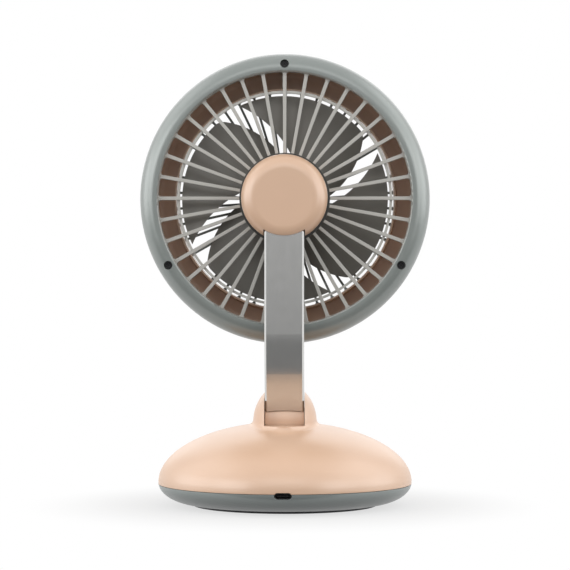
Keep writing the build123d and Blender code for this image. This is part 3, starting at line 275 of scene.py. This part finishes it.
class Surface:
    """A Principled material with helpers for the nodes that all the surfaces here share."""

    def __init__(self, name):
        self.material = bpy.data.materials.new(name)
        self.tree = cleared_tree(self.material)
        output = self.node("ShaderNodeOutputMaterial")
        self.shader = self.node("ShaderNodeBsdfPrincipled")
        self.link(self.shader.outputs["BSDF"], output.inputs["Surface"])
        coordinates = self.node("ShaderNodeTexCoord")
        self.place = coordinates.outputs["Object"]
        self.turned = coordinates.outputs["Normal"]

    def node(self, kind):
        return self.tree.nodes.new(kind)

    def link(self, source, target):
        self.tree.links.new(source, target)

    def set(self, **values):
        for name, value in values.items():
            self.shader.inputs[name.replace("_", " ")].default_value = value

    def noise(self, scale, detail=2.0, stretch=None):
        """Noise between 0 and 1, in cells of about 1 / scale metres."""
        where = self.place
        if stretch is not None:
            mapping = self.node("ShaderNodeMapping")
            mapping.inputs["Scale"].default_value = stretch
            self.link(where, mapping.inputs["Vector"])
            where = mapping.outputs["Vector"]
        noise = self.node("ShaderNodeTexNoise")
        noise.inputs["Scale"].default_value = scale
        noise.inputs["Detail"].default_value = detail
        self.link(where, noise.inputs["Vector"])
        return noise.outputs["Fac"]

    def remap(self, source, low, high, start=0.3, end=0.7):
        """source from start to end, as values from low to high."""
        remap = self.node("ShaderNodeMapRange")
        remap.inputs["From Min"].default_value = start
        remap.inputs["From Max"].default_value = end
        remap.inputs["To Min"].default_value = low
        remap.inputs["To Max"].default_value = high
        self.link(source, remap.inputs["Value"])
        return remap.outputs["Result"]

    def around(self, source, roughness):
        """A roughness that swings with source, which runs from 0 to 1."""
        return self.remap(source, roughness - ROUGHNESS_SWING, roughness + ROUGHNESS_SWING, 0.0, 1.0)

    def mix(self, factor, first, second):
        """Colour mix; first and second are colours or sockets."""
        mix = self.node("ShaderNodeMix")
        mix.data_type = "RGBA"
        self.link(factor, mix.inputs[0])
        for socket, value in ((mix.inputs[6], first), (mix.inputs[7], second)):
            if isinstance(value, tuple):
                socket.default_value = value
            else:
                self.link(value, socket)
        return mix.outputs[2]

    def bump(self, height, distance, strength, normal=None):
        bump = self.node("ShaderNodeBump")
        bump.inputs["Distance"].default_value = distance
        bump.inputs["Strength"].default_value = strength
        self.link(height, bump.inputs["Height"])
        if normal is not None:
            self.link(normal, bump.inputs["Normal"])
        return bump.outputs["Normal"]

    def soft_edges(self, radius):
        bevel = self.node("ShaderNodeBevel")
        bevel.samples = 6
        bevel.inputs["Radius"].default_value = radius
        return bevel.outputs["Normal"]

    def crease(self, distance):
        """1 in the open, towards 0 in creases and narrow gaps."""
        shade = self.node("ShaderNodeAmbientOcclusion")
        shade.samples = 6
        shade.inputs["Distance"].default_value = distance
        return shade.outputs["AO"]

    def edge(self, normal):
        """1 along convex and concave edges, 0 on open faces."""
        face = self.node("ShaderNodeNewGeometry")
        dot = self.node("ShaderNodeVectorMath")
        dot.operation = "DOT_PRODUCT"
        self.link(face.outputs["Normal"], dot.inputs[0])
        self.link(normal, dot.inputs[1])
        return self.remap(dot.outputs["Value"], 1.0, 0.0, 0.78, 0.95)

    def soft_normal(self, radius):
        """The bevelled normal along edges, and the plain one on open faces, where a bevel only adds noise."""
        face = self.node("ShaderNodeNewGeometry").outputs["Normal"]
        bevelled = self.soft_edges(radius)
        return self.blend(self.edge(bevelled), face, bevelled)

    def flat_normal(self):
        """The normal of the mesh's own triangles."""
        return self.node("ShaderNodeNewGeometry").outputs["True Normal"]

    def blend(self, factor, first, second):
        """A mix of two normals."""
        mix = self.node("ShaderNodeMix")
        mix.data_type = "VECTOR"
        self.link(factor, mix.inputs[0])
        self.link(first, mix.inputs[4])
        self.link(second, mix.inputs[5])
        return mix.outputs[1]

    def math(self, operation, first, second):
        result = self.node("ShaderNodeMath")
        result.operation = operation
        self.link(first, result.inputs[0])
        self.link(second, result.inputs[1])
        return result.outputs[0]

    def facing_back(self):
        """1 on faces that look to the piece's back, 0 on its sides and front."""
        axes = self.node("ShaderNodeSeparateXYZ")
        self.link(self.turned, axes.inputs[0])
        return self.remap(axes.outputs["Y"], 0.0, 1.0, 0.3, 0.7)

    def below(self, height, low):
        """0 above height, towards 1 at low."""
        axes = self.node("ShaderNodeSeparateXYZ")
        self.link(self.place, axes.inputs[0])
        return self.remap(axes.outputs["Z"], 1.0, 0.0, low, height)

    def from_head_axis(self, inner, outer):
        """0 within the inner radius around the head's axis, 1 beyond the outer one."""
        middle = self.node("ShaderNodeVectorMath")
        middle.operation = "SUBTRACT"
        middle.inputs[1].default_value = (0.0, 0.0, HEAD_HEIGHT)
        self.link(self.place, middle.inputs[0])
        across = self.node("ShaderNodeVectorMath")
        across.operation = "MULTIPLY"
        across.inputs[1].default_value = (1.0, 0.0, 1.0)
        self.link(middle.outputs["Vector"], across.inputs[0])
        span = self.node("ShaderNodeVectorMath")
        span.operation = "LENGTH"
        self.link(across.outputs["Vector"], span.inputs[0])
        return self.remap(span.outputs["Value"], 0.0, 1.0, inner, outer)


def scaled(color, factor):
    """A colour made darker or paler."""
    return tuple(min(1.0, part * factor) for part in color[:3]) + (1.0,)


def moulded(name, color, roughness, spokes=None, painted_shade=None, specular=0.5, metallic=0.0, pole=False):
    """Satin moulded plastic: eroded mould grain, faint flow clouds, edges paled by wear and by a painted
    highlight, creases darkened by a dusting and by painted shade.

    spokes colours a grille's spokes, and darkens its middle plate out to the rim, a painted shadow line round
    the hub cap.
    painted_shade gives two heights between which the colour darkens downwards, a painted shade.
    pole takes the triangles' own normals in the middle of the head, where the smooth ones are uneven.
    """
    surface = Surface(name)
    normal = surface.soft_normal(0.0005)
    clouds = surface.remap(surface.noise(26.0, 3.0), 0.0, 1.0, 0.1, 0.9)
    tone = surface.mix(clouds, scaled(color, 0.96), scaled(color, 1.04))
    if spokes is not None:
        spoke_tone = surface.mix(clouds, scaled(spokes, 0.96), scaled(spokes, 1.04))
        tone = surface.mix(surface.from_head_axis(*SPOKE_ENDS), spoke_tone, tone)
    # Painted shade: the colour darkens to 40 % towards the bottom of the piece
    if painted_shade is not None:
        tone = surface.mix(surface.below(*painted_shade), tone, scaled(color, 0.4))
    # Paler edges: wear from rubbing, and a painted highlight along chamfers and rims
    rubbed_and_highlit = surface.remap(surface.edge(normal), 0.0, 0.4, 0.2, 1.0)
    if pole:
        away = surface.from_head_axis(*CAP_MIDDLE)
        normal = surface.blend(away, surface.flat_normal(), normal)
        rubbed_and_highlit = surface.math("MULTIPLY", rubbed_and_highlit, away)
    tone = surface.mix(rubbed_and_highlit, tone, scaled(color, 1.35))
    # Dust and painted shade: creases and narrow gaps darken to 30 % of the colour
    dust_and_shade = surface.remap(surface.crease(0.003), 0.9, 0.0, 0.05, 0.4)
    tone = surface.mix(dust_and_shade, tone, scaled(color, 0.3))
    # Painted shadow: the middle plate, dark out to its rim, shows as a dark line round the hub cap
    if spokes is not None:
        tone = surface.mix(surface.from_head_axis(*PLATE_RIM_PAINTED_SHADOW), scaled(color, 0.1), tone)
    surface.link(tone, surface.shader.inputs["Base Color"])
    polish = surface.around(surface.noise(90.0, 4.0), roughness)
    surface.link(polish, surface.shader.inputs["Roughness"])
    peel = surface.bump(surface.noise(420.0, 1.0), 0.00003, 0.14, normal)
    grain = surface.bump(surface.noise(1700.0, 1.0), 0.00001, 0.14, peel)
    surface.link(grain, surface.shader.inputs["Normal"])
    surface.set(IOR=1.5, Metallic=metallic, Specular_IOR_Level=specular)
    return surface.material


def plated(name, color, roughness, brushing=(1.0, 1.0, 1.0), worn_and_glint=None, sides_painted_darker=None):
    """Plated or turned metal with fine tool marks.

    worn_and_glint colours the edges, wear and painted glint; sides_painted_darker gives the faces that don't
    look back a rougher finish and that colour, a painted shade.
    """
    surface = Surface(name)
    marks = surface.noise(900.0, 2.0, brushing)
    normal = surface.soft_normal(0.0002)
    tone = surface.mix(
        surface.remap(surface.noise(180.0, 3.0), 0.0, 1.0, 0.1, 0.9),
        scaled(color, 0.92),
        color,
    )
    # Wear and painted glint: the edges take a paler colour
    if worn_and_glint is not None:
        tone = surface.mix(surface.remap(surface.edge(normal), 0.0, 0.8, 0.1, 0.9), tone, worn_and_glint)
    polish = surface.around(marks, roughness)
    # Painted shade: faces that don't look back take a darker colour, and a rougher finish
    if sides_painted_darker is not None:
        back = surface.facing_back()
        tone = surface.mix(back, sides_painted_darker, tone)
        polish = surface.math("ADD", polish, surface.remap(back, 0.2, 0.0, 0.0, 1.0))
    surface.link(tone, surface.shader.inputs["Base Color"])
    surface.link(polish, surface.shader.inputs["Roughness"])
    surface.link(surface.bump(marks, 0.00001, 0.08, normal), surface.shader.inputs["Normal"])
    surface.set(Metallic=1.0)
    return surface.material


def rubbery(name, color):
    """Matt rubber with a dusty bloom."""
    surface = Surface(name)
    bloom = surface.remap(surface.noise(140.0, 4.0), 0.0, 0.5)
    tone = surface.mix(bloom, color, scaled(color, 1.7))
    surface.link(tone, surface.shader.inputs["Base Color"])
    surface.link(surface.remap(surface.noise(300.0), 0.62, 0.8), surface.shader.inputs["Roughness"])
    surface.link(surface.bump(surface.noise(3000.0), 0.00005, 0.3), surface.shader.inputs["Normal"])
    return surface.material


PEACH = srgb(216, 180, 152)
GREY = srgb(134, 140, 137)
peach = moulded("peach_plastic", PEACH, 0.33, specular=1.0)
cap_peach = moulded("cap_peach_plastic", PEACH, 0.33, specular=1.0, pole=True)
grey = moulded("grey_plastic", GREY, 0.32, specular=1.0, metallic=0.2)
lower_grey = moulded(
    "lower_grey_plastic", srgb(140, 147, 145), 0.32, painted_shade=SHELL_PAINTED_SHADE, specular=1.0, metallic=0.2
)
grille = moulded(
    "grille_plastic", GREY, 0.32, spokes=srgb(186, 184, 178), specular=1.0, metallic=0.2
)
impeller = moulded("impeller_plastic", srgb(128, 125, 119), 0.35)
black = moulded("black_plastic", srgb(24, 24, 25), 0.45, specular=0.25)
white_plastic = moulded("white_plastic", srgb(228, 227, 222), 0.35)
board = moulded("circuit_board", srgb(36, 92, 58), 0.34)
wrap = moulded("cell_wrap", srgb(48, 96, 150), 0.34)
rubber = rubbery("foot_rubber", srgb(48, 48, 50))
lead = rubbery("lead_rubber", srgb(30, 30, 32))
steel = plated("plated_steel", srgb(205, 204, 200), 0.33)
screw_steel = plated("screw_steel", srgb(165, 165, 164), 0.35)
# The black screws' pale edges are wear and a painted glint
black_steel = plated("black_steel", srgb(68, 68, 69), 0.33, worn_and_glint=srgb(170, 170, 170))
# Painted shade: the arm's faces that don't look back are given a darker colour than its back
arm_metal = plated(
    "arm_metal", srgb(226, 226, 224), 0.22, brushing=(1.0, 1.0, 0.02), sides_painted_darker=srgb(160, 160, 159)
)
core = plated("core_steel", srgb(120, 120, 124), 0.45)
copper = plated("copper_wire", srgb(205, 125, 78), 0.33)
brass = plated("brass_tube", srgb(205, 175, 110), 0.33)

MATERIALS = {
    peach: ("base_upper_shell", "hinge_plug", "hinge_barrel", "hub_cap", "front_housing"),
    cap_peach: ("front_cap",),
    grey: ("power_button", "arm_cover", "front_grille"),
    lower_grey: ("base_lower_shell",),
    grille: ("rear_grille",),
    arm_metal: ("arm_shell",),
    impeller: ("fan_impeller",),
    black: ("battery_tray", "board_components", "usb_tongue", "tact_switch"),
    white_plastic: ("status_led", "light_pipe", "hinge_washers", "switch_plunger"),
    board: ("main_board", "switch_board", "motor_board"),
    wrap: ("battery_cells",),
    rubber: ("foot_pad",),
    lead: ("motor_lead",),
    steel: ("battery_contacts", "hinge_pin", "motor_bearings", "motor_shaft", "rotor_cup"),
    screw_steel: (
        "base_screws", "board_screws", "switch_board_screws", "barrel_screws", "hub_screws", "shaft_clip",
    ),
    black_steel: ("head_screws", "usb_socket"),
    core: ("stator_core", "magnet_ring"),
    copper: ("stator_coils",),
    brass: ("bearing_tube",),
}
for material, names in MATERIALS.items():
    for name in names:
        nodes[name].data.materials.clear()
        nodes[name].data.materials.append(material)
